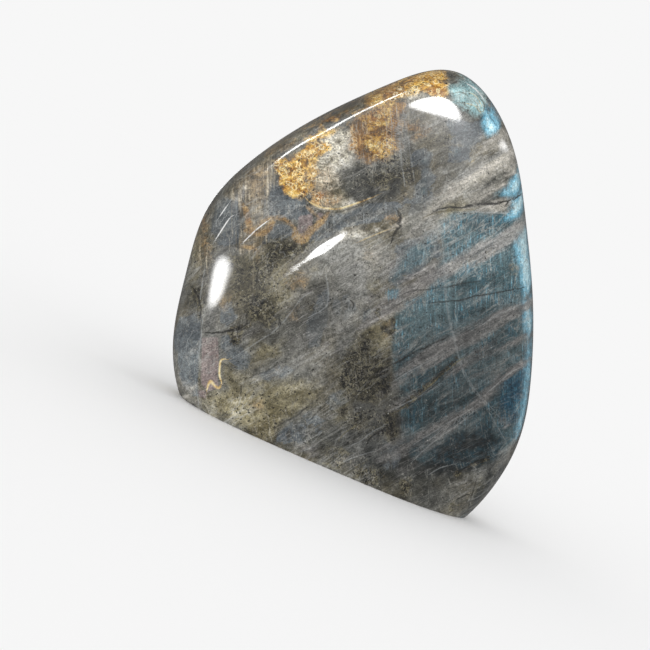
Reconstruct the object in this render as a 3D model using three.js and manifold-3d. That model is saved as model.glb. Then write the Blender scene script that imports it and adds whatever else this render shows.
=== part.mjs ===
// A polished labradorite freeform: one solid stone that stands on a flat cut base.
// Millimetres, +Z up. The domed front looks along -Y, and the origin is under the
// middle of the stone, on the plane it stands on.

import * as THREE from "three";
import { mergeGeometries, mergeVertices } from "three/addons/utils/BufferGeometryUtils.js";
import Module from "manifold-3d";

// Driving dimensions

// The rounded blank, read from the front, going round from the right end of the base.
// x, z: the widest outline, 102 wide and 109 tall above the base plane at z = 0.
// frontRound, backRound: radius of the side wall, seen in a section across the rim.
// frontCrisp, backCrisp: how tightly that wall turns into the face, 3 soft to 10 crisp.
// rimY: how far the rim itself wanders behind the middle plane.
const OUTLINE = [
  { x: 40.6, z: 0.0, frontRound: 9, frontCrisp: 3.5, backRound: 14, backCrisp: 3.5, rimY: 0.0 },
  { x: 45.6, z: 21.0, frontRound: 20, frontCrisp: 4.5, backRound: 18, backCrisp: 3.5, rimY: 0.5 },
  { x: 42.0, z: 41.3, frontRound: 20, frontCrisp: 4.5, backRound: 18, backCrisp: 3.5, rimY: 1.0 },
  { x: 33.7, z: 61.6, frontRound: 20, frontCrisp: 4.5, backRound: 18, backCrisp: 4.0, rimY: 1.0 },
  { x: 23.2, z: 80.6, frontRound: 18, frontCrisp: 4.0, backRound: 18, backCrisp: 4.0, rimY: 0.5 },
  { x: 10.4, z: 98.9, frontRound: 14, frontCrisp: 3.0, backRound: 16, backCrisp: 3.5, rimY: 0.0 },
  { x: -8.6, z: 109.1, frontRound: 13, frontCrisp: 3.0, backRound: 16, backCrisp: 3.5, rimY: 0.0 },
  { x: -24.9, z: 98.8, frontRound: 26, frontCrisp: 6.0, backRound: 18, backCrisp: 3.5, rimY: 0.0 },
  { x: -38.3, z: 84.0, frontRound: 34, frontCrisp: 10.0, backRound: 20, backCrisp: 3.5, rimY: 0.5 },
  { x: -49.4, z: 68.0, frontRound: 32, frontCrisp: 8.0, backRound: 20, backCrisp: 3.5, rimY: 1.0 },
  { x: -56.4, z: 50.1, frontRound: 15.5, frontCrisp: 2.8, backRound: 20, backCrisp: 3.5, rimY: 1.0 },
  { x: -55.0, z: 31.0, frontRound: 10, frontCrisp: 2.6, backRound: 18, backCrisp: 3.5, rimY: 0.5 },
  { x: -50.4, z: 11.2, frontRound: 11.5, frontCrisp: 5.0, backRound: 16, backCrisp: 3.5, rimY: 0.0 },
  { x: -37.6, z: -5.5, frontRound: 12, frontCrisp: 3.5, backRound: 16, backCrisp: 3.5, rimY: 0.0 },
  { x: -16.0, z: -14.0, frontRound: 20, frontCrisp: 4.0, backRound: 18, backCrisp: 4.0, rimY: 0.0 },
  { x: 8.0, z: -15.5, frontRound: 20, frontCrisp: 4.0, backRound: 18, backCrisp: 4.0, rimY: 0.0 },
  { x: 29.0, z: -10.5, frontRound: 12, frontCrisp: 3.5, backRound: 16, backCrisp: 3.5, rimY: 0.0 },
];
const OUTLINE_CENTRE = { x: -4, z: 50 };

// Each face is a shallow dome: its height over the rim plane at the crown, how much it
// has fallen one spread away from the crown, and how much it leans back towards the top.
const FRONT = { height: 18.5, crownX: -2, crownZ: 42, spreadX: 50, spreadZ: 60, fallX: 2.2, fallZ: 3.4, lean: 1.2 };
const BACK = { height: 17.0, crownX: -4, crownZ: 40, spreadX: 50, spreadZ: 60, fallX: 2.6, fallZ: 3.0, lean: 1.0 };

// A soft step across the front, where the upper left was ground a little lower.
const STEP = { x: -24, z: 51, angle: 57, depth: 1.3, width: 5, length: 20 };

const GRID_STEPS = 40; // quads along each side of the square that is wrapped onto a face
const CUT_DEPTH = 60; // the block taken off below the base plane

const POLISHED_STONE = { color: 0x6e7678, roughness: 0.1, metalness: 0 };

// Outline spline: a closed cubic through the points above, smooth in its curvature

function splineWeights(values) {
  const count = values.length;
  const weights = values.slice();
  for (let pass = 0; pass < 60; pass += 1) {
    const before = weights.slice();
    for (let i = 0; i < count; i += 1) {
      const last = before[(i + count - 1) % count];
      const next = before[(i + 1) % count];
      weights[i] += values[i] - (last + 4 * before[i] + next) / 6;
    }
  }
  return weights;
}

const weights = Object.fromEntries(
  Object.keys(OUTLINE[0]).map((key) => [key, splineWeights(OUTLINE.map((point) => point[key]))]),
);

// The outline's values at turn, which goes from 0 to 1 once round the stone.
function outlineAt(turn) {
  const count = OUTLINE.length;
  const s = turn * count;
  const i = Math.floor(s);
  const f = s - i;
  const basis = [
    (1 - f) ** 3 / 6,
    (3 * f ** 3 - 6 * f ** 2 + 4) / 6,
    (-3 * f ** 3 + 3 * f ** 2 + 3 * f + 1) / 6,
    f ** 3 / 6,
  ];
  const at = (list) => basis.reduce((sum, b, k) => sum + b * list[(i + k + count - 1) % count], 0);
  return Object.fromEntries(Object.entries(weights).map(([key, list]) => [key, at(list)]));
}

// Face heights over the rim plane

function domeHeight(face, x, z) {
  const across = (x - face.crownX) / face.spreadX;
  const up = (z - face.crownZ) / face.spreadZ;
  return face.height - face.fallX * across ** 2 - face.fallZ * up ** 2 - face.lean * up;
}

function stepHeight(x, z) {
  const angle = THREE.MathUtils.degToRad(STEP.angle);
  const along = (x - STEP.x) * Math.cos(angle) + (z - STEP.z) * Math.sin(angle);
  const over = -(x - STEP.x) * Math.sin(angle) + (z - STEP.z) * Math.cos(angle);
  const fade = Math.exp(-((along / STEP.length) ** 2));
  return -0.5 * STEP.depth * (1 + Math.tanh((2 * over) / STEP.width)) * fade;
}

const faces = {
  front: { way: -1, height: (x, z) => domeHeight(FRONT, x, z) + stepHeight(x, z) },
  back: { way: 1, height: (x, z) => domeHeight(BACK, x, z) },
};

// A point of the blank: turn goes round the outline, and out from 0 at the middle to 1 at
// the rim. The side wall rises from the rim as a round and is blended into the face.
function surfacePoint(side, turn, out) {
  const rim = outlineAt(turn);
  const dx = rim.x - OUTLINE_CENTRE.x;
  const dz = rim.z - OUTLINE_CENTRE.z;
  const x = OUTLINE_CENTRE.x + dx * out;
  const z = OUTLINE_CENTRE.z + dz * out;
  const inward = (1 - out) * Math.hypot(dx, dz);
  const wall = Math.sqrt(2 * rim[`${side}Round`] * inward);
  const crisp = rim[`${side}Crisp`];
  const face = faces[side];
  const height = face.height(x, z);
  const raised = height / (1 + out ** 4 * (height / wall) ** crisp) ** (1 / crisp);
  return new THREE.Vector3(x, face.way * raised + rim.rimY * out ** 4, z);
}

// Where a point of the square from -1 to 1 lies on a face: its rings are squares inside
// squares, drawn closer together towards the rim, where the wall is steep.
function turnOnSquare(a, b) {
  const ring = Math.max(Math.abs(a), Math.abs(b));
  if (ring === 0) return 0;
  if (a >= Math.abs(b)) return (b / ring / 8 + 1) % 1;
  if (b > Math.abs(a)) return 0.25 - a / ring / 8;
  if (-a >= Math.abs(b)) return 0.5 - b / ring / 8;
  return 0.75 + a / ring / 8;
}

function faceGeometry(side) {
  const geometry = new THREE.PlaneGeometry(2, 2, GRID_STEPS, GRID_STEPS);
  geometry.deleteAttribute("normal");
  geometry.deleteAttribute("uv");
  const position = geometry.getAttribute("position");
  for (let i = 0; i < position.count; i += 1) {
    const a = position.getX(i);
    const b = position.getY(i);
    const out = Math.sin((Math.PI / 2) * Math.max(Math.abs(a), Math.abs(b)));
    const point = surfacePoint(side, turnOnSquare(a, b), out);
    position.setXYZ(i, point.x, point.y, point.z);
  }
  if (side === "back") geometry.index.array.reverse();
  return geometry;
}

function blankGeometry() {
  return mergeVertices(mergeGeometries([faceGeometry("front"), faceGeometry("back")]), 1e-4);
}

// The cut that makes the base

const wasm = await Module();
wasm.setup();

function toSolid(geometry) {
  geometry.deleteAttribute("normal");
  geometry.deleteAttribute("uv");
  const merged = mergeVertices(geometry);
  return new wasm.Manifold(
    new wasm.Mesh({
      numProp: 3,
      vertProperties: new Float32Array(merged.getAttribute("position").array),
      triVerts: new Uint32Array(merged.index.array),
    }),
  );
}

function toGeometry(solid) {
  const mesh = solid.getMesh();
  const geometry = new THREE.BufferGeometry();
  geometry.setAttribute("position", new THREE.BufferAttribute(mesh.vertProperties, 3));
  geometry.setIndex(new THREE.BufferAttribute(mesh.triVerts, 1));
  return geometry;
}

function stoneGeometry() {
  const blank = blankGeometry();
  blank.computeBoundingBox();
  const middle = blank.boundingBox.getCenter(new THREE.Vector3());
  blank.translate(-middle.x, -middle.y, 0);
  const block = new THREE.BoxGeometry(400, 400, CUT_DEPTH);
  block.translate(0, 0, -CUT_DEPTH / 2);
  return toGeometry(toSolid(blank).subtract(toSolid(block)));
}

const stone = new THREE.Mesh(stoneGeometry(), new THREE.MeshStandardMaterial(POLISHED_STONE));
stone.name = "stone";

const freeform = new THREE.Group();
freeform.add(stone);

export default freeform;
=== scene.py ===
# Looks for a polished labradorite freeform that stands on its cut base.
# The script works in millimetres in the solid's own outline frame, and turns to metres
# where a mesh, a light or the camera is made. Markings are placed in picture units: the
# picture is 650 units wide, u goes right and v goes down, and 3.7 units are 1 mm.

import math

import bmesh
import bpy
import numpy as np
from mathutils import Matrix, Vector


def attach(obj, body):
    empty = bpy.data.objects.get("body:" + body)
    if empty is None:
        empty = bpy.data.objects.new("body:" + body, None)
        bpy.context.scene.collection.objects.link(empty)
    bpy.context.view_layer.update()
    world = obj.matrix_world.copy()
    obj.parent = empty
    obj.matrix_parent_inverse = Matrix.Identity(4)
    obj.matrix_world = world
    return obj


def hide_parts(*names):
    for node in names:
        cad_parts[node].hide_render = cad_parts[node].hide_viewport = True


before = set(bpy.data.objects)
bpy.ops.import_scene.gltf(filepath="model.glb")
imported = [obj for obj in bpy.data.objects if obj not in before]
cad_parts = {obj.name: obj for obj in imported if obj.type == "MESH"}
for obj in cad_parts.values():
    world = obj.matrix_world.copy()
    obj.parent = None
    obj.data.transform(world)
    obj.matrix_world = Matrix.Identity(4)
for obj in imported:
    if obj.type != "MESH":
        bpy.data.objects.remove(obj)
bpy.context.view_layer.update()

MM = 0.001

# The rounded blank, with the same values as the solid

OUTLINE = [
    # x, z, front radius, front tightness, back radius, back tightness, rim
    (40.6, 0.0, 9, 3.5, 14, 3.5, 0.0),
    (45.6, 21.0, 20, 4.5, 18, 3.5, 0.5),
    (42.0, 41.3, 20, 4.5, 18, 3.5, 1.0),
    (33.7, 61.6, 20, 4.5, 18, 4.0, 1.0),
    (23.2, 80.6, 18, 4.0, 18, 4.0, 0.5),
    (10.4, 98.9, 14, 3.0, 16, 3.5, 0.0),
    (-8.6, 109.1, 13, 3.0, 16, 3.5, 0.0),
    (-24.9, 98.8, 26, 6.0, 18, 3.5, 0.0),
    (-38.3, 84.0, 34, 10.0, 20, 3.5, 0.5),
    (-49.4, 68.0, 32, 8.0, 20, 3.5, 1.0),
    (-56.4, 50.1, 15.5, 2.8, 20, 3.5, 1.0),
    (-55.0, 31.0, 10, 2.6, 18, 3.5, 0.5),
    (-50.4, 11.2, 11.5, 5.0, 16, 3.5, 0.0),
    (-37.6, -5.5, 12, 3.5, 16, 3.5, 0.0),
    (-16.0, -14.0, 20, 4.0, 18, 4.0, 0.0),
    (8.0, -15.5, 20, 4.0, 18, 4.0, 0.0),
    (29.0, -10.5, 12, 3.5, 16, 3.5, 0.0),
]
OUTLINE_CENTRE = (-4.0, 50.0)
FRONT = {"height": 18.5, "x": -2.0, "z": 42.0, "fall_x": 2.2, "fall_z": 3.4, "lean": 1.2}
BACK = {"height": 17.0, "x": -4.0, "z": 40.0, "fall_x": 2.6, "fall_z": 3.0, "lean": 1.0}
SPREAD_X, SPREAD_Z = 50.0, 60.0
STEP = {"x": -24.0, "z": 51.0, "angle": 57.0, "depth": 1.3, "width": 5.0, "length": 20.0}

GRID_STEPS = 224  # quads along each side of the square that is wrapped onto a face
BASE_ROUND = 0.5  # mm, the small round along the cut edge
BASE_LOOPS = (0.5, 0.3, 0.14, 0.04)  # mm over the base, where edges run round to shape it

# Camera: it sees the stone rolled clockwise, as it was held

DISTANCE = 450.0  # mm from the camera to the point that it aims at
ELEVATION = math.radians(4.5)
ROLL = math.radians(23.3)
AIM = np.array([-14.9, 0.0, 33.0])
UNITS_PER_MM = 3.7
PICTURE = 650.0
SENSOR = 36.0

FORWARD = np.array([0, math.cos(ELEVATION), -math.sin(ELEVATION)])
LEVEL_RIGHT = np.array([1.0, 0, 0])
LEVEL_UP = np.array([0, math.sin(ELEVATION), math.cos(ELEVATION)])
RIGHT = LEVEL_RIGHT * math.cos(ROLL) + LEVEL_UP * math.sin(ROLL)
UP = -LEVEL_RIGHT * math.sin(ROLL) + LEVEL_UP * math.cos(ROLL)
EYE = AIM - FORWARD * DISTANCE

# Markings, as text. A layer's line gives its name and its reach, the units over which its
# marks fade, so that the material's textures can break their edges. Each line under it is a
# mark: its name, its strength, its points, and before them a width where the mark is a
# stroke along a line instead of a closed outline.


def read_marks(text):
    """Each layer's reach and marks, and each mark's strength, width if it has one, and points."""
    layers, marks = {}, []
    for line in text.replace("\n      ", " ").strip().splitlines():
        label, _, places = line.partition(":")
        name, number, *width = label.split()
        if not places:
            marks = []
            layers[name] = (float(number), marks)
            continue
        points = np.array([[float(n) for n in place.split(",")] for place in places.split()])
        marks.append((float(number), float(width[0]) if width else None, points))
    return layers


# In the cream layer, patch and patch_line are a painted highlight: the pale, fading end of the polish's
# middle highlight.
# The dim layer is painted shade: it darkens the colour towards the lower right, between the veils and
# along the left rims, and in a few places deepens the stone's own dark patches.
# The lit layer is painted light: it brightens places that the lamps light less, such as the rims, and also
# lifts some of the stone's lighter patches.
FRONT_MARKS = read_marks("""
pale 24
  middle 0.8: 300,262 332,244 372,238 400,246 404,268 384,296 350,318 320,330 300,310
  right_of_middle 0.8: 398,204 436,196 444,214 436,238 404,240
  low_left 0.75: 184,314 216,316 250,350 330,352 330,384 262,430 214,410 190,392
  crest 0.7: 384,100 420,116 450,118 470,124 462,140 430,136 392,150
  left 0.6: 236,150 276,148 276,196 262,238 240,244 232,200
  foot 0.7: 384,484 472,484 476,516 440,522 396,512
shade 26
  low_right 1: 404,410 520,392 524,430 504,470 460,488 410,492 372,482 340,466 330,440 372,420
  low 0.75: 270,440 330,396 372,392 380,440 372,488
slate 4
  under_gold 1: 260,200 271,182 292,197 304,200 309,206 312,216 298,220 284,217 266,218
  fringe_low 0.9: 268,225 288,226 294,233 284,242 262,244
  left 1: 212,212 222,196 240,202 243,222 238,242 220,246 211,228
  low_edge 1: 178,322 199,313 202,345 198,375 201,396 189,396 178,370 175,345
  low_1 1: 221,335 236,333 243,348 251,357 249,368 238,369 220,348
  crest_1 0.95: 447,121 480,120 483,138 474,148 450,142
  crest_2 0.95: 448,146 470,146 470,160 448,162
  crest_3 0.72: 413,152 424,148 436,153 432,166 438,178 430,190 433,203 420,205 414,190 419,176 410,166
  crest_4 0.6: 392,104 406,104 408,116 396,126
  shadow 1: 326,214 345,214 362,206 395,200 402,206 398,216 380,221 345,228 330,238 308,242
  lilac 0.6: 400,198 438,196 440,206 424,214 408,220 400,214
  weak 0.7: 398,242 442,226 441,256 396,288 386,280
  low_2 0.52: 270,440 284,426 304,411 342,386 352,388 346,406 310,444 290,452
  column 0.85: 308,318 318,296 328,286 330,318 320,346 306,352
  left_low 0.8: 221,306 232,300 238,318 226,328 219,322
  low_4 0.6: 258,374 284,362 296,368 270,388
  wedge 0.9: 362,308 378,310 372,322 360,326
  middle 0.6: 330,300 350,292 360,304 346,320 330,318
  low_5 0.5: 380,430 404,440 402,470 380,470
olive 14
  low_left 0.95: 222,364 258,378 300,382 322,388 318,400 282,422 272,436 258,440 238,430 214,414 204,400
      206,392 222,388
  left_middle 0.85: 230,254 268,246 298,268 294,302 272,318 246,314 228,296
  left_high 0.6: 200,238 218,236 226,262 214,262 204,258
  centre 0.75: 358,322 380,312 394,316 396,340 396,392 386,404 360,404 342,396 338,370 350,350
  centre_top 1: 366,322 380,314 393,318 395,338 384,346 370,338
  centre_low 0.6: 330,396 352,400 376,410 370,426 346,436 326,424
  crack_edge 1: 426,209 440,202 462,204 474,208 446,218 428,218
  thread 1: 386,410 396,406 397,438 387,440
  light_left 0.8: 250,340 284,338 282,358 250,366
  rim_left 0.9: 186,256 200,215 222,180 234,176 214,210 204,240 200,262 190,292
  upper 0.8: 336,190 354,200 344,209 318,208 326,196
  upper_mid 0.6: 336,176 356,164 364,196 340,200
  edge_top 0.8: 236,168 300,122 350,98 352,110 300,136 250,172
  mid 0.5: 300,262 320,254 330,272 318,290 300,290
  mid_right 0.6: 362,240 384,236 388,300 366,306 356,280
  crest_right 0.6: 444,66 476,72 490,88 474,88 446,84
milk 16
  middle 0.7: 328,250 352,243 378,238 398,248 392,270 372,296 344,304 330,284
  right 1: 402,204 440,200 442,224 420,236 398,240
  crest 0.8: 386,110 402,108 412,130 404,150 390,150
  crest_2 0.6: 404,118 440,120 444,134 410,138
  low 0.6: 222,368 262,368 270,392 228,398
  left_low 0.7: 206,350 222,352 236,390 214,408 200,400
  wide 0.7: 290,306 340,292 366,310 350,340 318,352 290,356
  left 0.5: 296,290 326,276 336,300 322,320 300,318
coal 10
  upper 1: 356,164 392,157 404,163 406,178 403,191 395,200 375,203 350,200 340,190 342,178
  shadow 0.75: 326,216 345,217 362,210 395,204 398,214 345,226 332,236 314,240
  below_fringe 0.7: 262,242 280,235 300,240 318,236 310,250 296,260 280,266 262,258
dark 8
  edge_top 0.7: 318,122 340,108 362,97 368,101 324,127
  upper_core 0.8: 372,172 395,165 402,178 394,190 378,190 366,182
  left_middle 0.7: 232,258 250,256 266,250 275,262 271,280 273,298 264,313 248,312 240,297 228,288
  below_fringe 0.85: 262,242 280,235 300,240 318,236 310,250 296,260 280,266 262,258
  centre 0.84: 343,352 362,344 380,350 393,352 394,392 385,404 366,405 348,399 338,385 336,366
  column_3 0.95: 352,414 362,410 366,424 358,434 350,428
  column_4 0.75: 386,408 395,404 397,420 394,440 386,432
  rib 1: 360,338 371,336 374,356 360,360
  upper_specks 0.5: 378,158 396,154 408,160 420,158 414,172 418,182 400,184 390,180
  left_blot 0.9: 244,296 262,290 276,298 282,318 268,328 250,322
  left_high 0.8: 232,256 246,254 248,276 240,300 230,290
  foot 0.7: 355,460 374,464 380,484 366,488 353,478
  foot_brown 1: 401,480 408,481 409,493 402,494
  bottom 0.6: 320,448 342,440 352,456 344,472 324,468
  left_speck 1: 229,334 241,333 241,348 231,348
  left_cluster 0.9: 189,286 201,286 203,301 194,303 187,296
  grey_square 0.6: 447,499 471,497 469,514 448,513
  flank 0.5: 480,474 500,460 510,462 500,486 482,512 468,514 472,494
  crest_spot 0.7: 442,134 452,134 452,152 444,150
  left_rim 0.8: 193,300 199,300 202,318 197,320
flash 8
  main 1: 441,221 456,213 511,213 523,217 529,250 533,300 533,360 529,400 522,432 506,452 486,464 462,468
      446,464 426,464 410,454 404,440 400,408 420,394 410,384 396,382 393,360 393,316 405,302 425,293
      434,278 441,255
  weak_upper 0.56: 398,242 442,226 440,250 424,268 388,292 386,284 396,262
  left_chip 0.85: 386,291 401,285 400,299 388,300
  crest 0.5: 416,156 430,156 432,196 418,198
  crest_right 0.5: 450,146 466,146 466,158 452,160
  band_side 0.6: 492,188 508,182 506,200 488,202
teal 12
  low 1: 404,400 470,384 498,392 500,420 470,420 440,436 402,424
  low_deep 1: 430,446 462,430 490,422 500,438 490,452 460,460 432,458
  sliver 1: 472,350 486,340 496,340 492,353 478,358
  upper 1: 476,214 512,214 506,228 478,232 456,226
  middle 0.8: 450,280 500,262 516,262 512,290 450,298
  middle_2 0.8: 450,302 500,300 500,314 462,326 448,318
  left 0.8: 394,346 420,338 424,352 396,366
  chevron 1: 398,384 420,372 444,364 440,376 402,396
  right 1: 497,372 512,368 527,360 526,400 520,428 500,428 497,396
deep 14
  low 1: 432,446 460,432 486,426 502,438 504,458 476,472 440,474 420,466
  flank 0.9: 486,474 510,460 520,440 512,470 490,500 474,516 466,514 472,494
  sliver 0.7: 474,350 486,342 494,342 490,352 480,356
  low_left 0.7: 402,440 424,432 430,450 408,466
saturated 9
  right 1: 503,380 527,364 526,398 520,424 501,424 498,400
  low_left 0.5: 404,412 418,406 422,414 414,426 404,424
  upper 0.5: 480,214 512,214 506,222 484,226
  spark_1 0.75: 504,326 515,322 514,336 507,340
beige 8
  crest_1 1: 480,149 482,140 505,126 512,142 519,176 500,172 496,158 490,146
  crest_2 1 17: 519,152 485,169 450,193 436,206 424,215
  crest_3 0.8 6: 498,140 488,146 478,154
  lens 1: 462,210 474,204 512,200 515,209 500,213
  crest_4 0.8 12: 508,184 490,190 474,198 456,204
  crest_low 0.6 10: 440,206 400,226 384,232
  flat 0.6: 366,240 386,238 388,262 384,276 370,274
  left_low 0.7: 180,380 196,384 200,408 186,400
  left_base 0.7: 262,372 288,364 276,378 264,380
  rim 0.8: 507,120 514,140 520,170 514,176 508,150 500,128
grey_stripe 6
  crest 0.9 9: 508,148 478,165 462,177 452,182
veil 7
  v1 1 17: 532,214 523,224 505,239 490,248 444,272 410,293 376,316 358,330
  v1_low 0.8 6: 445,262 428,268 380,293 366,302
  v1_tail 0.6 10: 402,300 372,322 340,350 324,362
  v1_upper 0.6 14: 432,226 402,252 378,282
  v2 0.95 18: 536,298 533,302 498,318 464,338 414,364 396,376
  v2_low 0.7 8: 470,345 412,374 392,386 378,396
  v3 0.8 12: 536,334 492,351 444,376
  v3_low 0.65 6: 526,352 492,370 450,384
  v4 0.9 13: 536,352 530,358 500,380 487,392 478,403 446,424 414,442 396,455 380,462
  v4_second 0.75 7: 482,405 462,422 430,445 404,474
  v5 0.75 10: 440,384 404,402 368,421
  v6 0.45 6: 498,432 488,412 462,370
  v7 0.55 9: 520,440 494,410 484,400
  v8 0.5 8: 420,430 400,440 384,452
  left_1 0.55 8: 326,286 306,294 288,304 262,322 226,352
  left_2 0.5 7: 320,330 300,340 280,352 256,362
  left_3 0.45 9: 340,330 320,350 296,366 270,380
  low_1 0.5 7: 350,404 330,416 312,430 292,442
  low_2 0.75: 296,446 320,440 322,460 302,456
  low_3 0.6 7: 392,444 356,458 336,464
  low_4 0.45 6: 426,432 412,444 402,460 396,478
  middle 0.5 8: 372,408 356,416 340,430 322,438
  upper 0.5 5: 344,200 362,192 396,184
  foot 0.4: 456,480 474,474 474,490 460,492
stripes 12
  upper_left 1: 226,182 242,168 268,158 274,176 268,200 268,240 258,256 236,250 238,222
  left_rim 0.7: 190,250 206,214 216,206 206,290 196,300
  crest 0.8: 388,104 404,104 408,128 398,150 388,140
  left_low 0.5: 244,240 262,240 262,300 246,300
mauve 3
  low 1: 202,338 218,337 219,358 217,374 219,388 208,391 201,384
  fringe 0.9: 299,216 313,213 313,224 308,232 301,235 297,229
  fringe_right 0.7: 316,211 326,211 322,220 316,224
  low_left 0.7: 196,388 210,390 206,400 198,398
cream 9
  white 1: 320,136 340,128 355,131 359,146 352,162 340,170 326,168 317,154
  wormy 0.7: 304,162 320,158 338,168 344,184 332,196 312,190 305,176
  crest 1: 393,88 418,84 425,88 425,96 392,100
  crest_left 0.9: 362,105 394,96 390,103 368,110
  patch 0.85: 342,231 352,226 366,226 366,235 352,240 343,239
  patch_line 0.62 4: 364,234 376,230 390,226
  tan 0.6: 304,184 324,186 344,192 362,202 346,209 324,211 310,206
  low_rim 0.8 5: 311,205 320,209 333,211 346,209 376,198
  left_column 0.5: 238,190 246,178 251,200 251,240 243,242
  crest_right 0.7: 428,76 446,76 448,86 430,86
rim_dark 8
  left 1: 196,232 214,200 240,168 270,140 300,119 306,128 262,158 238,180 216,208 203,240
  crest 0.95: 298,120 330,101 366,84 372,92 306,130
crest_brown 8
  strip 1: 366,88 402,70 440,63 450,65 446,82 420,86 398,93 364,108
  strip_left 0.4: 292,124 330,102 366,84 370,104 300,144
fibres 9
  main 1: 350,126 364,112 386,102 404,100 398,130 400,146 386,160 362,163 350,150
  left 0.8: 276,164 300,150 316,156 306,184 284,186
  above 0.6: 300,140 320,124 366,101 370,106 318,132 300,146
  right 0.6: 400,118 424,118 436,128 424,140 404,138
  low 0.35: 284,270 306,268 308,286 294,292 284,286
  tan 0.6: 309,188 330,192 346,200 336,208 320,208 309,202
  left_rim 0.7: 200,226 206,222 208,258 202,258
gold 6
  map 1: 272,160 283,158 290,161 307,143 316,141 326,142 332,147 328,152 311,161 304,162 305,181 309,187
      308,195 301,199 284,193 280,186 278,176 273,168
  fibre_core 0.62: 360,114 390,103 396,112 388,126 372,134 360,128
  fibre_low 0.85: 366,136 388,130 396,138 393,154 374,160 364,150
  below_map 0.6: 304,160 318,156 322,170 318,190 308,196 303,180
  crest 1: 352,114 372,102 424,78 446,83 449,96 440,99 425,92 408,96 395,102
  above_line 0.8: 364,98 424,73 444,72 448,80 420,82 374,102
  above_line_left 0.5: 318,128 362,104 352,114 322,132
  below_line 0.9: 303,141 322,131 350,122 340,130 308,146
  tan 0.7: 312,190 320,191 326,197 324,204 316,206 310,202
  streak 0.56 2.6: 479,155 470,162 461,170
amber 8
  stripe_1 0.9 5: 204,224 203,240 205,258
  eye 0.8: 208,248 213,247 214,260 209,262 206,256
  spot_1 0.9 5: 222,298 225,309
  spot_2 0.8: 284,272 306,271 307,285 294,292 284,286
  spot_3 0.8: 290,303 298,304 298,322 290,320
  spot_4 0.8: 254,242 260,242 259,262 253,262
  spot_5 0.85: 386,214 400,215 397,224 386,224
  spot_7 0.7: 225,293 240,292 240,300 227,302
  spot_8 0.45: 360,246 376,245 376,262 362,264
  thread_blob 0.8: 403,192 408,192 405,202 401,202
  low_spot 0.7: 250,398 264,399 264,412 252,414
  wormy 0.65: 306,166 330,162 342,182 334,198 310,192
  tan 0.9: 308,186 332,188 346,198 330,208 312,208
  under_stripe 0.65: 246,168 266,164 268,206 250,208
  upper_left 0.9: 262,152 280,142 296,139 297,146 280,152 266,160
  column 0.7: 262,160 272,156 274,176 264,180
  olive_right 0.6: 376,318 396,316 397,338 384,340
  right_spot 0.9: 513,265 522,265 522,272 514,272
fringe 3
  right 0.95 6: 303,241 309,233 322,221 329,212
  top 0.85 5: 256,228 264,221 274,218 284,219 297,230
  drop 1 9: 295,230 296,236 301,240 307,235 310,228
  left_1 1 6: 243,204 247,214 249,224 255,232
  left_2 1 6.5: 245,230 256,233 266,231 274,221
  left_3 0.8 4: 240,246 252,248 259,252
  right_side 0.8 4: 306,206 312,212 319,217
rust 6
  crest 1: 424,88 436,86 447,90 446,97 427,94
  crest_edge 1: 378,92 396,86 398,95 384,100
  blot 0.9: 314,192 324,190 328,198 321,204 313,202
  fibre_1 0.8: 366,112 386,106 384,120 368,128
  fibre_2 0.85: 382,138 391,136 392,150 384,153
  edge 0.75: 321,121 352,108 348,114 330,123
  left 0.8: 243,210 251,211 252,224 246,222
  map 0.6: 304,146 316,142 314,150 306,158 299,158
  edge_2 0.8: 404,79 424,73 440,73 440,78 420,80 406,86
  fringe 0.8: 300,234 306,228 309,232 304,238
  mauve_top 0.7: 212,352 220,350 222,360 216,362
  spot 0.6: 384,216 398,216 396,222 386,222
bright 7
  top 0.85: 519,173 523,192 514,195 502,194
  below_crack 0.85: 511,201 524,195 528,214 505,220 510,212
  middle 0.9: 518,233 527,226 533,270 533,292 525,296 516,246
  low 0.95: 524,302 531,302 533,334 529,338 525,324
  fan 0.9: 485,110 492,117 499,128 495,133 488,135 484,124
  line 0.8 6: 529,344 528,384 521,422 516,438
crest_bright 9
  crest 0.95: 449,88 460,83 471,85 480,93 486,104 482,114 473,117 453,100
crest_blue 5
  rim 1: 466,76 480,82 492,94 502,110 508,126 504,130 486,101 474,90
ink 3
  left_1 1: 250,296 262,293 265,309 259,315 250,311
  left_2 0.8: 266,251 276,248 277,266 269,276 265,264
  left_3 0.9 5: 228,331 240,328 250,326
  left_4 0.9: 231,338 239,337 239,345 231,344
  left_5 0.8: 308,304 315,304 315,311 309,312
  left_6 0.7 5: 256,262 258,276 258,290
  left_7 0.7 5: 244,298 245,308 246,318
  middle 1: 374,309 379,308 380,315 375,317
  upper_edge 1 4: 393,319 393,328 392,337
  upper 0.8: 380,325 392,326 391,335 380,334
  a 1: 361,344 368,337 371,345 366,352 360,351
  b 1 5: 355,350 354,356 347,364
  b_side 0.9 4.5: 354,362 360,361 363,364
  c 1: 347,365 353,373 351,389 344,389 339,380
  c_side 0.9: 355,371 364,367 364,376 356,381
  e 0.9: 378,371 388,362 390,376 382,385 375,378
  f 1: 380,384 389,381 391,393 382,395
  low_1 0.9: 340,408 347,407 346,416 340,417
  low_2 0.9: 356,411 363,411 365,421 358,425
  chain 0.9: 385,412 391,411 395,424 394,437 389,439
  ridge 0.85 5.4: 456,356 452,364 402,408 393,414
  foot 1: 359,467 366,471 370,479 375,484 367,487 360,479
  foot_line 0.9 4: 381,469 382,474 382,479
  foot_spot 1: 401,483 407,479 409,488 405,494 402,491
  flank 0.9: 453,471 458,469 462,474 456,480
  flank_line 0.8 4.4: 468,468 478,463 490,457
chips 4
  left 1: 386,292 392,289 399,290 397,298 388,299
  upper 0.8: 425,238 432,235 432,250 427,252
  middle 0.7: 462,264 476,262 474,272 463,275
  low 0.7: 395,352 405,350 404,357 396,360
drapes 16
  crest 1: 366,104 452,100 462,140 440,196 392,196 352,160 352,124
  slate 0.8: 212,190 276,160 304,196 318,238 262,262 214,250
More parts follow.
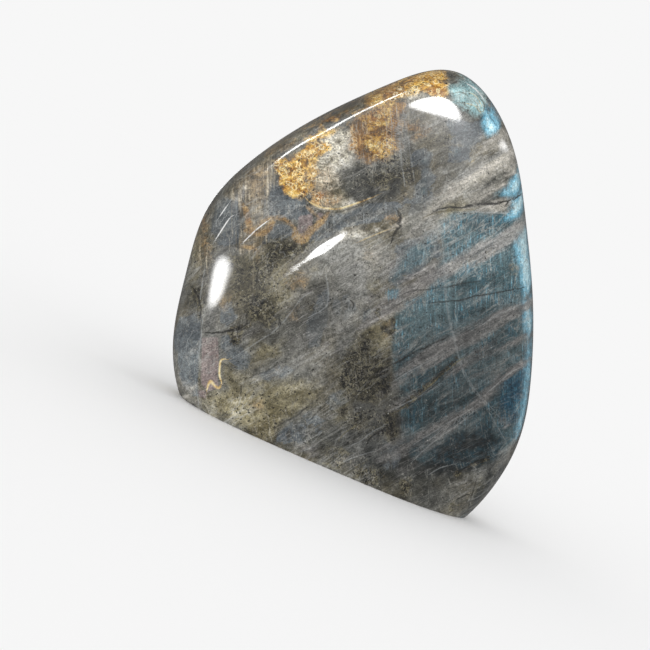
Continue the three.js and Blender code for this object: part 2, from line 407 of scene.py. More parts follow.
  left 0.7: 196,246 250,240 300,262 300,320 236,330 204,300
  centre 0.5: 346,262 392,250 396,300 356,316
  low 0.5: 330,350 396,330 400,470 340,470
  flash 0.5: 440,216 510,212 530,300 520,420 440,430 396,330
pits 8
  upper 1: 376,156 396,152 420,160 420,182 398,188 380,184
  charcoal 0.6: 354,176 392,166 398,190 360,196
  left 0.7: 232,262 262,258 288,300 284,326 256,326 238,304
  rim 1: 184,284 202,284 206,312 192,312
  centre 0.6: 338,366 394,360 396,400 342,402
  slate 0.8: 228,330 244,330 244,350 230,350
  veil 0.5: 440,262 500,236 512,252 450,280
  low 0.7: 346,408 400,404 398,446 350,440
  foot 0.8: 354,458 380,462 384,488 362,488
  crest 0.6: 384,86 420,80 424,96 388,104
  crest_low 0.5: 404,112 448,118 452,150 410,150
  middle 0.4: 300,286 340,282 342,318 302,318
  low_left 0.2: 212,392 300,388 300,404 262,436 232,424
  map 0.35: 276,160 330,142 330,206 300,200
  edge 0.5: 300,122 360,92 366,100 306,134
  left_rim 0.8: 196,236 208,220 214,262 200,286
worn 6
  upper_left 1: 224,208 236,186 250,180 256,196 244,208 230,216
  tail 1: 291,263 296,272 272,292 246,298 244,282 268,268
  edge 1: 250,184 262,166 275,156 280,162 254,190
dim 28
  low_right 1: 434,320 478,298 526,306 530,360 526,420 500,466 440,480 376,470 336,432 326,384 352,352
      392,334
  between_veils 0.95: 446,322 500,300 526,302 524,326 440,352
  left 0.45: 226,258 268,248 292,272 276,312 240,306
  charcoal 0.45: 352,162 398,158 402,194 352,198
  low_centre 0.7: 320,368 350,362 356,400 330,410
  rim 0.7: 206,214 228,178 250,160 262,164 236,192 218,226 208,236
  rim_left 0.9: 184,290 198,284 202,328 190,338 178,330
  left_low 0.95: 296,296 336,290 356,330 310,340
  steel 0.95: 414,170 436,170 436,198 414,198
  columns 1: 334,344 396,336 398,440 340,446
  low_slate 0.6: 221,335 243,335 257,368 230,368
  left_slate 0.8: 212,212 238,208 240,240 216,242
  centre 0.5: 300,300 420,262 424,300 400,320 340,346 312,346
  fringe 0.7: 264,226 296,236 290,246 262,246
  foot 0.6: 352,452 470,474 470,520 420,516 360,490
  flank 0.75: 430,436 512,440 502,480 474,510 472,476 430,466
  below_line 0.35: 356,112 400,104 440,120 440,150 360,150
lit 12
  upper_mid 1: 392,206 420,203 424,222 396,228
  beige 1: 492,152 516,150 518,176 480,186 466,196 450,200 462,180
  crest 1: 396,86 424,76 450,80 452,92 424,94 400,100
  stripe 0.15: 246,170 268,168 268,202 248,206
  slate_edge 1: 166,318 200,318 203,400 180,396
  flash 0.3: 462,268 514,262 514,290 470,292
  olive 0.2: 236,392 292,386 290,430 244,428
  low_left 0.9: 204,386 246,388 250,420 222,418 206,404
  veil 0.7: 450,266 500,240 512,248 462,276
  tan 0.7: 302,186 332,190 336,214 304,212
  white 0.6: 318,134 352,130 354,164 322,168
  fan 1: 482,110 493,114 502,127 496,136 485,136
  wormy 0.5: 276,166 296,152 336,150 344,190 310,200 286,192
""")

# The back, in the same units, as if seen through the stone from the front

BACK_MARKS = read_marks("""
flash 26
  sweep 1: 206,330 232,270 290,222 352,186 420,160 448,176 430,214 372,248 270,340 226,362
  second 0.9: 300,420 352,372 486,286 510,300 496,346 384,424 330,446
  chip 0.8: 452,214 486,196 500,230 470,256
  low 0.7: 226,410 262,392 280,420 250,440
teal 24
  sweep 1: 240,270 300,226 372,188 400,190 350,240 290,280 250,300
  second 0.9: 330,410 400,360 450,330 440,364 380,410 340,430
deep 22
  fold 0.9: 262,316 312,276 370,244 410,214 420,230 362,276 276,336
  second 0.8: 420,376 470,340 500,330 490,366 440,398
saturated 22
  sweep 0.8: 270,262 330,212 396,180 420,186 372,230 284,286
  second 0.7: 362,384 420,342 462,318 456,344 372,402
bright 20
  sweep 0.6: 318,232 356,206 384,198 366,226 334,246
  second 0.4: 392,372 424,350 432,358 404,382
slate 18
  right 0.8: 440,180 490,170 500,260 460,300 430,240
  middle 1: 300,340 350,306 380,320 330,366
  left 0.9: 200,330 240,340 250,390 214,392
pale 24
  middle 1: 380,300 430,270 470,280 420,330 380,350
  top 0.8: 340,130 400,110 430,140 390,170 340,176
  foot 0.8: 300,440 380,440 400,470 330,470
  left 0.7: 250,350 300,344 300,400 256,404
milk 20
  left 0.7: 210,250 240,220 250,260 226,310 206,310
  right 0.9: 470,390 512,366 520,420 490,450 466,430
  top 0.9: 300,170 350,140 372,150 320,190
dark 16
  middle 0.9: 400,262 450,236 470,262 430,290 396,296
  upper 0.8: 300,150 346,136 366,160 330,180
  foot 0.7: 210,380 250,372 260,400 220,410
  edge 0.8: 480,400 510,390 512,430 486,434
  between 0.6: 300,340 350,300 372,310 316,360
coal 16
  middle 0.9: 340,310 392,280 404,300 350,340
  low 0.8: 400,450 460,420 480,450 430,480
olive 20
  right 0.8: 450,330 510,310 520,380 480,440 450,400
  upper 0.8: 330,120 420,90 440,140 380,170
  left 1: 230,350 290,340 300,390 246,400
  low 0.7: 290,440 360,430 380,470 310,470
cream 16
  upper 0.8: 352,122 392,106 410,126 380,142
  patch 0.7: 446,318 476,304 482,320 452,338
fibres 20
  crest 1: 356,104 410,80 450,84 456,104 410,116 366,122
  patch 0.8: 424,404 452,388 470,404 446,428 424,424
gold 14
  crest 0.7: 380,98 424,78 450,86 444,100 404,112
  patch 0.7: 434,406 450,400 456,412 440,420
  streak 0.7 4: 300,350 330,336 356,316 380,300
rust 10
  patch 0.7: 438,406 450,402 454,412 442,418
""")

# Thin lines. The glint lines are painted highlights: thin reflections of the lamps along small edges of
# the polish.

LINES = read_marks("""
crack 3.5
  right_upper 1 2.8: 521,194 513,199 495,203 480,204 460,207 450,207 440,209 432,213
  right_branch 0.9 1.3: 505,206 510,201 514,198
  right_1 0.65 1.8: 482,281 465,283 440,288 420,290 404,293
  right_2 0.85 2: 525,287 490,294 475,296 460,300 430,303
  right_3 0.9 2.6: 446,338 420,350 393,364 380,372
  left_1 1 2.4: 205,333 214,333 228,331 240,328 250,322
  left_2 0.9 2.2: 192,287 198,296 201,319
  left_3 0.7 1.4: 300,294 312,290 326,286
  arc 0.6 1.6: 305,200 311,206 320,210 333,212 346,210 376,200
  wiggle 0.95 4.2: 397,210 400,216 398,222 400,227 396,230 391,242
  twig 0.9 1.8: 399,171 406,171 411,169 417,168
  twig_drop 0.9 2.6: 409,172 412,177 414,183
  twig_left 0.7 1.6: 404,176 408,181 410,186
  low_1 0.9 1.8: 386,427 370,438 367,446
  low_2 0.8 2.4: 455,475 475,462 484,460
  fan_1 0.5 1.5: 486,110 491,118 498,127
  fan_2 0.3 1: 485,112 487,122 488,131
  dots 0.9 2.4: 279,317 280,324 278,328
  low_left 0.6 1.6: 258,374 268,370 278,364
  ticks 0.8 2: 241,385 241,395
  right_dot 0.9 2: 350,300 353,304 352,310
  ridge 0.7 1.6: 454,368 443,379 432,387 423,396 412,404
  low_dark 0.7 2.2: 272,430 296,416 304,410 314,404
  low_dark_2 0.6 1.8: 290,436 304,426 330,400
  edge_low 0.9 1.6: 456,500 464,496 470,494
  flank 0.6 1.6: 477,478 470,500 468,512
thread 3.5
  curved 0.4 2.8: 440,231 443,250 446,300 455,343 458,352 460,362 464,374
  curved_low 0.26 1.6: 458,352 463,368 471,384 481,398 506,442
  curved_side 0.28 1.5: 462,372 476,394 488,404 500,418
  left_1 0.6 1.5: 325,270 328,290 327,305 318,312 307,318
  left_2 0.6 1.5: 230,360 256,343 280,326 300,300 312,292
  left_3 0.5 1.2: 268,336 276,330 284,322
  right_1 0.75 1.4: 456,214 470,212 500,213 512,212
  veil_1 0.55 1.4: 520,226 500,237 436,273
  veil_2 0.5 1.2: 516,236 480,258 446,276
  veil_3 0.55 1.4: 530,300 496,316 480,326
  veil_4 0.5 1.3: 524,366 510,373 487,393
  veil_5 0.45 1.3: 478,404 462,415 446,424 414,444
  veil_6 0.45 1.2: 476,410 456,426 440,437 424,450 410,464
  veil_7 0.5 1.4: 440,385 424,394 392,410
  veil_8 0.45 1.2: 450,350 410,371 392,382
  low_1 0.5 1.2: 350,446 362,440 372,432 384,426
  low_2 0.5 1.1: 320,446 310,448 300,452
  low_3 0.6 1.2: 430,474 440,468 454,464
  low_4 0.5 1.1: 332,470 344,462 358,456 372,452
  left_4 0.9 1.6: 205,268 202,285 200,300
  left_5 0.9 1.4: 203,318 200,345 199,362
  left_6 0.8 1.4: 195,378 197,392 199,408
  left_7 0.6 1.1: 186,352 188,340 194,330
  crest 0.4 1.3: 484,98 494,110 500,120
  pale_1 0.8 2: 396,106 402,164 405,186
  pale_2 0.8 1.5: 390,110 392,130 391,152
  pale_3 0.6 1.4: 402,108 407,130 417,200
  pale_4 0.7 1.3: 384,114 387,130 386,150
  pale_5 0.7 1.2: 402,118 398,126 396,140 399,152
  pale_6 0.6 1.1: 410,112 404,122 402,136
  crest_fan_1 0.6 1: 404,116 412,112 420,108
  crest_fan_2 0.5 1: 408,120 416,116 424,112
gold_line 3.5
  arc 0.9 2: 304,196 311,203 320,207 333,209 346,207 376,196
  squiggle_1 1 2.2: 226,359 221,360 219.5,368 219.5,376 222,383
  squiggle_2 1 2.8: 222,383 219,388 215,386 211,381 208.5,384 207,390
  crest_1 0.8 1: 469,92 477,97 482,107
  crest_2 0.7 1: 465,103 475,106 481,113
  patch_low 0.5 1.4: 356,243 372,236 392,228
olive_line 3.5
  ridge 0.7 1.8: 452,366 432,383 414,400 393,414
  ridge_top 0.8 1.4: 466,357 458,361 452,366
  low 0.8 1.6: 358,424 346,432 338,440
  crack_edge 0.8 2: 474,209 444,211 432,214 422,218
  olive 0.9 2.4: 250,363 264,358 282,352
  left 0.8 1.4: 228,362 234,366 238,367
  crest_curl_1 0.7 1.3: 452,94 460,92 468,96 472,104 466,110 460,106
  crest_curl_2 0.8 1.3: 470,90 478,96 484,104 483,111 477,110 478,103
  crest_curl_3 0.6 1.2: 456,102 464,104 472,112 474,118
glint 3.5
  left_1 0.9 1.2: 219.3,217 224,210 228.9,203.3
  left_2 1 1.3: 215.5,239.7 229,219 234.3,215.2
  left_3 1 1.4: 243.2,242.3 256,230 268,220.6
  crest 1 1.5: 466,83 474,88 480,94 484,100
""")

DRIFT = -31  # the veils' direction, in degrees
FRONT_ONLY_DEPTH = (1.5, 13.0)  # mm behind the front face over which front marks give way
SLANTED = ("veil", "beige", "grey_stripe")  # layers that run through the stone
VEIL_SLANT = (0.3, 0.55)  # how far a veil moves right and down for each unit of depth
WOBBLE = 3.4  # mm of depth by which the place where they give way comes and goes
WOBBLE_SIZES = (17, 13, 5)  # units across, up, and along the slope, for each radian of it
WAVE_FROM = -9.0  # mm, y behind which the other marks' edges wave as they run round the side
WAVE_HEIGHT = 8.0  # units up and down
WAVE_PACE = 3.7  # mm of thickness for each radian of the wave
SURFACE_LINES = {"glint": 0.01, "gold_line": 6.0, "olive_line": 8.0}  # mm of depth where they end
FAR = 9.0  # half widths, the farthest that a place's distance from a thin line is stored
TAPER = 0.3  # the share of a line's length over which it thins, and of its width left at the end


def smooth_line(points, steps=4):
    """More points along a curve through the given ones."""
    ends = np.vstack([2 * points[0] - points[1], points, 2 * points[-1] - points[-2]])
    f = np.arange(steps)[:, None] / steps
    parts = []
    for a, b, c, d in zip(ends, ends[1:], ends[2:], ends[3:]):
        bend = (2 * a - 5 * b + 4 * c - d) * f**2 + (3 * b - a - 3 * c + d) * f**3
        parts.append(0.5 * (2 * b + (c - a) * f + bend))
    return np.vstack(parts + [points[-1:]])


def zone_distance(points, at):
    """Distance from each place to a closed outline, negative inside it."""
    nearest = np.full(len(at), np.inf)
    inside = np.zeros(len(at), bool)
    for p, q in zip(points, np.roll(points, -1, 0)):
        side = q - p
        from_p = at - p
        along = np.clip(from_p @ side / (side @ side), 0, 1)
        nearest = np.minimum(nearest, ((from_p - along[:, None] * side) ** 2).sum(1))
        crosses = (p[1] > at[:, 1]) != (q[1] > at[:, 1])
        reach_u = p[0] + side[0] * (at[:, 1] - p[1]) / (side[1] or 1e-9)
        inside ^= crosses & (at[:, 0] < reach_u)
    return np.sqrt(nearest) * np.where(inside, -1, 1)


def line_distance(points, width, at):
    """Signed distance to a line, and the line's tapered half width at the nearest point."""
    lengths = np.hypot(*np.diff(points, axis=0).T)
    total = lengths.sum()
    nearest = np.full(len(at), np.inf)
    signed = np.zeros(len(at))
    place = np.zeros(len(at))
    start = 0.0
    for p, q, length in zip(points, points[1:], lengths):
        side = (q - p) / length
        from_p = at - p
        along = np.clip(from_p @ side, 0, length)
        distance = np.hypot(*(from_p - along[:, None] * side).T)
        cross = side[0] * from_p[:, 1] - side[1] * from_p[:, 0]
        closer = distance < nearest
        nearest[closer] = distance[closer]
        signed[closer] = (np.where(cross < 0, -1, 1) * distance)[closer]
        place[closer] = start + along[closer]
        start += length
    to_end = np.minimum(place, total - place) / (TAPER * total)
    return signed, width / 2 * (TAPER + (1 - TAPER) * np.sqrt(np.clip(to_end, 0, 1)))


def near(points, at, margin):
    """Which places lie in the box round the points, widened by a margin."""
    low, high = points.min(0) - margin, points.max(0) + margin
    return np.all((at > low) & (at < high), axis=1)


def layer_density(layer, at):
    """0 outside a layer's marks, 1 inside, 0.5 on their edges."""
    reach, marks = layer
    density = np.zeros(len(at))
    for strength, width, points in marks:
        here = near(points, at, reach + (width or 0))
        if width:
            signed, half = line_distance(smooth_line(points), width, at[here])
            distance = np.abs(signed) - half
        else:
            distance = zone_distance(points, at[here])
        cover = strength * np.clip(0.5 - distance / (2 * reach), 0, 1)
        density[here] = np.maximum(density[here], cover)
    return density


def line_field(layer, at):
    """Distance across the nearest thin line in half widths, and that line's strength."""
    reach, marks = layer
    across = np.full(len(at), FAR)
    shown = np.zeros(len(at))
    nearest = np.full(len(at), np.inf)
    for strength, width, points in marks:
        points = smooth_line(points)
        here = np.flatnonzero(near(points, at, 2 * reach + 1))
        signed, half = line_distance(points, width, at[here])
        closer = np.abs(signed) < nearest[here]
        chosen = here[closer]
        nearest[chosen] = np.abs(signed)[closer]
        across[chosen] = np.clip(signed[closer] / half[closer], -FAR, FAR)
        shown[chosen] = strength * np.clip(2 - nearest[chosen] / reach, 0, 1)
    return across, shown


# The stone's mesh


def spline_weights(values):
    weights = values.copy()
    for _ in range(60):
        around = np.roll(weights, 1, 0) + 4 * weights + np.roll(weights, -1, 0)
        weights = weights + values - around / 6
    return weights


OUTLINE_WEIGHTS = spline_weights(np.array(OUTLINE, float))


def outline_at(turn):
    """The outline's seven values at each turn, 0 to 1 once round the stone."""
    count = len(OUTLINE_WEIGHTS)
    s = (turn % 1.0) * count
    i = np.floor(s).astype(int)
    f = (s - i)[:, None]
    w = [OUTLINE_WEIGHTS[(i + k) % count] for k in (-1, 0, 1, 2)]
    return (
        (1 - f) ** 3 * w[0]
        + (3 * f**3 - 6 * f**2 + 4) * w[1]
        + (-3 * f**3 + 3 * f**2 + 3 * f + 1) * w[2]
        + f**3 * w[3]
    ) / 6


def dome_height(face, x, z):
    across = (x - face["x"]) / SPREAD_X
    up = (z - face["z"]) / SPREAD_Z
    return face["height"] - face["fall_x"] * across**2 - face["fall_z"] * up**2 - face["lean"] * up


def step_height(x, z):
    angle = math.radians(STEP["angle"])
    along = (x - STEP["x"]) * math.cos(angle) + (z - STEP["z"]) * math.sin(angle)
    over = -(x - STEP["x"]) * math.sin(angle) + (z - STEP["z"]) * math.cos(angle)
    fade = np.exp(-((along / STEP["length"]) ** 2))
    return -0.5 * STEP["depth"] * (1 + np.tanh(2 * over / STEP["width"])) * fade


def surface(turn, out, front):
    """Points of the blank: turn goes round, out goes from 0 in the middle to 1 at the rim."""
    rim = outline_at(turn)
    radius, crisp = (rim[:, 2], rim[:, 3]) if front else (rim[:, 4], rim[:, 5])
    dx, dz = rim[:, 0] - OUTLINE_CENTRE[0], rim[:, 1] - OUTLINE_CENTRE[1]
    x, z = OUTLINE_CENTRE[0] + dx * out, OUTLINE_CENTRE[1] + dz * out
    wall = np.sqrt(2 * radius * np.maximum((1 - out) * np.hypot(dx, dz), 1e-12))
    height = dome_height(FRONT, x, z) + step_height(x, z) if front else dome_height(BACK, x, z)
    raised = height / (1 + out**4 * (height / wall) ** crisp) ** (1 / crisp)
    y = (-raised if front else raised) + rim[:, 6] * out**4
    return np.stack([x, y, z], 1)


def square_turn(a, b, ring):
    """How far round each point of the square from -1 to 1 lies, in turns."""
    r = np.maximum(ring, 1e-12)
    right = a >= np.abs(b)
    top = b > np.abs(a)
    left = -a >= np.abs(b)
    turn = np.where(left, 0.5 - b / r / 8, 0.75 + a / r / 8)
    turn = np.where(top, 0.25 - a / r / 8, turn)
    return np.where(right, b / r / 8, turn)


def blank_mesh():
    """Vertices, quads and depth behind the front face; front and back share the rim."""
    n = GRID_STEPS
    ticks = np.linspace(-1, 1, n + 1)
    a, b = (g.ravel() for g in np.meshgrid(ticks, ticks, indexing="ij"))
    ring = np.maximum(np.abs(a), np.abs(b))
    rim = ring > 1 - 1e-9
    turn = square_turn(a, b, ring)
    out = np.where(rim, 1.0, np.sin(math.pi / 2 * ring))
    front = surface(turn, out, True)
    back = surface(turn, out, False)
    index = np.arange(len(a))
    back_index = np.where(rim, index, 0)
    back_index[~rim] = len(a) + np.arange((~rim).sum())
    grid = index.reshape(n + 1, n + 1)
    corners = [grid[:-1, :-1], grid[1:, :-1], grid[1:, 1:], grid[:-1, 1:]]
    quads = np.stack([c.ravel() for c in corners], 1)
    depth = np.concatenate([np.zeros(len(a)), (back - front)[~rim, 1]])
    return np.vstack([front, back[~rim]]), np.vstack([quads, back_index[quads[:, ::-1]]]), depth


BLANK_POINTS, BLANK_QUADS, BLANK_DEPTH = blank_mesh()
BLANK_MIDDLE = (BLANK_POINTS.max(0) + BLANK_POINTS.min(0)) / 2
SHIFT = np.array([-BLANK_MIDDLE[0], -BLANK_MIDDLE[1], 0.0])


def metres(point):
    return Vector((np.asarray(point) + SHIFT) * MM)


def picture_place(points):
    """u and v of points in the outline's frame, in mm."""
    away = points - EYE
    scale = UNITS_PER_MM * DISTANCE / (away @ FORWARD)
    return np.stack([PICTURE / 2 + (away @ RIGHT) * scale, PICTURE / 2 - (away @ UP) * scale], 1)


def cut_flat(bm):
    """Cut the blank at z = 0, round the cut edge and close it with one face."""
    for level in BASE_LOOPS + (0.0,):
        whole = bm.verts[:] + bm.edges[:] + bm.faces[:]
        bmesh.ops.bisect_plane(
            bm, geom=whole, dist=1e-5, plane_co=(0, 0, level), plane_no=(0, 0, 1), clear_inner=level == 0
        )
    bm.normal_update()
    for vert in bm.verts:
        if vert.co.z < BASE_ROUND:
            drop = BASE_ROUND - vert.co.z
            inward = BASE_ROUND - math.sqrt(max(BASE_ROUND**2 - drop**2, 0.0))
            vert.co -= Vector((vert.normal.x, vert.normal.y, 0.0)).normalized() * inward
    open_edge = [edge for edge in bm.edges if edge.is_boundary]
    for face in bm.faces:
        face.smooth = True
    for face in bmesh.ops.contextual_create(bm, geom=open_edge)["faces"]:
        face.smooth = False
        face.material_index = 1
    bmesh.ops.recalc_face_normals(bm, faces=bm.faces[:])


def stone_mesh():
    mesh = bpy.data.meshes.new("labradorite")
    mesh.from_pydata(BLANK_POINTS.tolist(), [], BLANK_QUADS.tolist())
    mesh.attributes.new("depth", "FLOAT", "POINT").data.foreach_set("value", BLANK_DEPTH)
    bm = bmesh.new()
    bm.from_mesh(mesh)
    cut_flat(bm)
    bm.to_mesh(mesh)
    bm.free()
    return mesh


def read_mesh(mesh):
    points = np.zeros(len(mesh.vertices) * 3)
    mesh.vertices.foreach_get("co", points)
    depth = np.zeros(len(mesh.vertices))
    mesh.attributes["depth"].data.foreach_get("value", depth)
    return points.reshape(-1, 3), depth


def store(mesh, name, columns):
    values = np.stack(columns, 1).astype(np.float32).ravel()
    mesh.attributes.new(name, "FLOAT_VECTOR", "POINT").data.foreach_set("vector", values)


ZONE_LAYERS = list(FRONT_MARKS)


def given_way(place, depth):
    """0 where the front's marks show in full, 1 where they have given way to the back's."""
    across, up, slope = (place[:, 0], place[:, 1], place.sum(1)) / np.array(WOBBLE_SIZES)[:, None]
    wobble = WOBBLE * (np.sin(across) + np.sin(up + 1) + np.sin(slope))
    first, last = FRONT_ONLY_DEPTH
    return np.clip((depth + wobble * np.minimum(depth, 1) - first) / (last - first), 0, 1)


def zone_densities(place, slanted, y, depth):
    """Each layer's density, in the order of ZONE_LAYERS."""
    through = given_way(place, depth)
    beside = np.maximum(y - WAVE_FROM, 0)
    waved = place + np.stack([0 * beside, WAVE_HEIGHT * np.sin(beside / WAVE_PACE)], 1)
    for name, layer in FRONT_MARKS.items():
        if name in SLANTED:
            yield layer_density(layer, slanted)
            continue
        back = layer_density(BACK_MARKS[name], place) if name in BACK_MARKS else 0
        yield layer_density(layer, waved) * (1 - through) + back * through


def mark_mesh(mesh, points, depth):
    """Store where each vertex lies and how much of each marking it has."""
    place = picture_place(points)
    slanted = place - depth[:, None] * UNITS_PER_MM * np.array(VEIL_SLANT)
    store(mesh, "place", [place[:, 0], place[:, 1], points[:, 1] * UNITS_PER_MM])
    densities = list(zone_densities(place, slanted, points[:, 1], depth))
    while len(densities) % 3:
        densities.append(np.zeros(len(points)))
    for i in range(0, len(densities), 3):
        store(mesh, f"zones_{i // 3}", densities[i : i + 3])
    for name, layer in LINES.items():
        across, strength = line_field(layer, slanted)
        if name in SURFACE_LINES:
            strength = strength * np.clip(1 - depth / SURFACE_LINES[name], 0, 1)
        store(mesh, f"line_{name}", [across, strength, depth])


# Materials

POLISH_GREY = 0.007  # what the mirrored room adds to every colour, in linear light

# Colours as seen in the picture, 0 to 255. A line gives a layer's colours, each after its
# position along the layer's texture.


def read_palette(text):
    palette = {}
    for line in text.strip().splitlines():
        name, stops = line.split(": ")
        words = stops.split()
        colours = [[int(part) for part in word.split(",")] for word in words[1::2]]
        palette[name] = list(zip(map(float, words[::2]), colours))
    return palette


PALETTE = read_palette("""
ground: 0.38 50,49,42  0.46 86,85,78  0.54 118,117,109  0.64 166,164,157
ground_warm: 0.37 64,57,38  0.46 96,89,68  0.54 124,116,94  0.65 166,160,142
pale: 0.38 86,87,82  0.47 116,116,110  0.54 137,136,130  0.64 180,178,171
shade: 0.38 32,35,34  0.48 64,67,65  0.55 88,90,87  0.65 130,131,126
slate: 0.37 62,70,76  0.47 90,98,104  0.55 111,120,124  0.66 150,156,159
olive: 0.38 78,70,42  0.46 117,108,77  0.53 147,138,105  0.62 184,175,144
milk: 0.38 92,93,89  0.47 123,123,117  0.54 145,144,138  0.64 188,186,179
dark: 0.38 14,12,5  0.45 43,39,25  0.52 77,71,51  0.6 121,114,88  0.7 163,156,131
coal: 0.37 34,35,32  0.46 66,67,63  0.54 94,94,87  0.65 148,146,136
flash: 0.37 54,80,86  0.47 82,109,115  0.55 106,132,138  0.66 144,168,173
teal: 0.37 30,53,58  0.47 42,69,75  0.55 56,87,93  0.66 92,131,138
deep: 0.37 26,33,35  0.48 40,49,52  0.57 56,66,69  0.68 86,97,100
saturated: 0.37 22,60,82  0.47 32,84,110  0.55 48,110,138  0.66 92,162,190
veil: 0.36 86,85,84  0.45 115,113,111  0.52 136,133,130  0.61 184,180,176
beige: 0.36 118,115,107  0.45 151,147,137  0.52 173,168,157  0.62 209,203,193
grey_stripe: 0.34 86,89,90  0.5 114,116,116  0.66 148,148,146
stripes: 0.4 74,64,46  0.47 116,102,78  0.53 164,148,118  0.6 226,214,188
mauve: 0.36 118,104,104  0.5 146,130,127  0.66 176,160,156
cream: 0.36 116,110,94  0.44 166,159,142  0.52 210,204,188  0.62 243,240,230
crest_brown: 0.37 52,36,12  0.45 118,84,30  0.52 182,136,60  0.63 232,200,130
rim_dark: 0.35 38,37,30  0.47 74,72,60  0.56 104,101,86  0.67 150,146,128
fibres: 0.37 66,44,12  0.45 120,80,22  0.52 162,112,38  0.63 208,166,94
gold: 0.36 122,78,12  0.44 186,130,34  0.51 216,166,64  0.57 234,194,98  0.66 246,224,158
rust: 0.36 104,58,18  0.5 154,96,38  0.64 200,150,84
fringe: 0.37 120,92,54  0.48 170,132,78  0.57 208,172,110
amber: 0.37 88,68,36  0.46 136,106,62  0.54 172,138,86  0.65 206,176,122
crest_bright: 0.37 108,148,154  0.46 150,194,198  0.54 180,219,221  0.66 222,240,238
ink: 0.38 6,5,2  0.47 24,21,10  0.54 54,48,30  0.63 112,104,80
chips: 0.37 52,88,102  0.47 70,118,136  0.55 92,146,166  0.66 138,190,204
olive_line: 0.4 56,50,30  0.5 94,87,60  0.6 138,129,98
gold_line: 0.4 176,132,62  0.48 226,190,118  0.58 250,236,188
sawn: 0.37 78,78,72  0.46 110,110,103  0.54 136,135,127  0.64 174,172,163
crest_blue: 0.36 46,78,98  0.5 78,126,152  0.66 128,182,204
""")
TONES = {
    "blue_patch": (38, 92, 110), "blue_shadow": (42, 66, 76), "blue_spark": (124, 188, 210),
    # glint is the colour of the painted highlights
    "thread": (178, 182, 182), "crack": (28, 26, 20), "glint": (250, 250, 248),
    "dark_fleck": (24, 22, 14), "pale_fleck": (208, 206, 196),
}
# The glow: painted sheen, the flash's bright band along the right rim, and how it breaks up round the side
GLOW = ((0.06, (62, 100, 112)), (0.3, (78, 138, 160)), (0.55, (132, 196, 220)), (0.8, (200, 236, 244)))
GLOW_ENDS = (-24.0, 14.0)  # units behind the middle plane over which the glow breaks up
GLOW_WANDER = {"blotch": 110.0, "mottle": 60.0}  # units by which textures move that place
GLOW_GAPS = {"blotch": 5.0, "streak": 4.0}  # how strongly textures tear it there
GLOW_LOSS = 0.6  # how much less of it is left there
GLOW_FALL = 0.5  # how much darker the rest is there
GLOW_LIVELY = 1.8  # how strongly its brightness changes with the upright lines
UNEVEN = 0.018  # mm, how uneven the polish is where the stone is coarse
LIT = 1.5  # painted light: how much brighter the colour is made where the lit layer is full
DIMMED = 0.45  # painted shade: how much of the colour is left where the dim layer is full
ROUGHNESS = (0.32, 0.5)  # of the stone under its polish
SAWN_ROUGHNESS = (0.58, 0.78)
COAT_ROUGHNESS = 0.03
COAT_IOR = 1.6
DETAIL_MIDDLE = 0.39  # brings the fine grain's mean to one
SAW_CENTRE = (0.04, -0.2, 0.0)  # m, what the saw's arcs on the base run round
SAW_PITCH = 0.0021  # m from one arc to the next
SAW_DEPTH = 0.00006  # m, how far they are cut in


def linear(colour):
    """A colour as seen in the picture as the stone's own linear colour."""
    values = [((c / 255 + 0.055) / 1.055) ** 2.4 for c in colour]
    return (*[max(v - POLISH_GREY, 0.001) for v in values], 1.0)


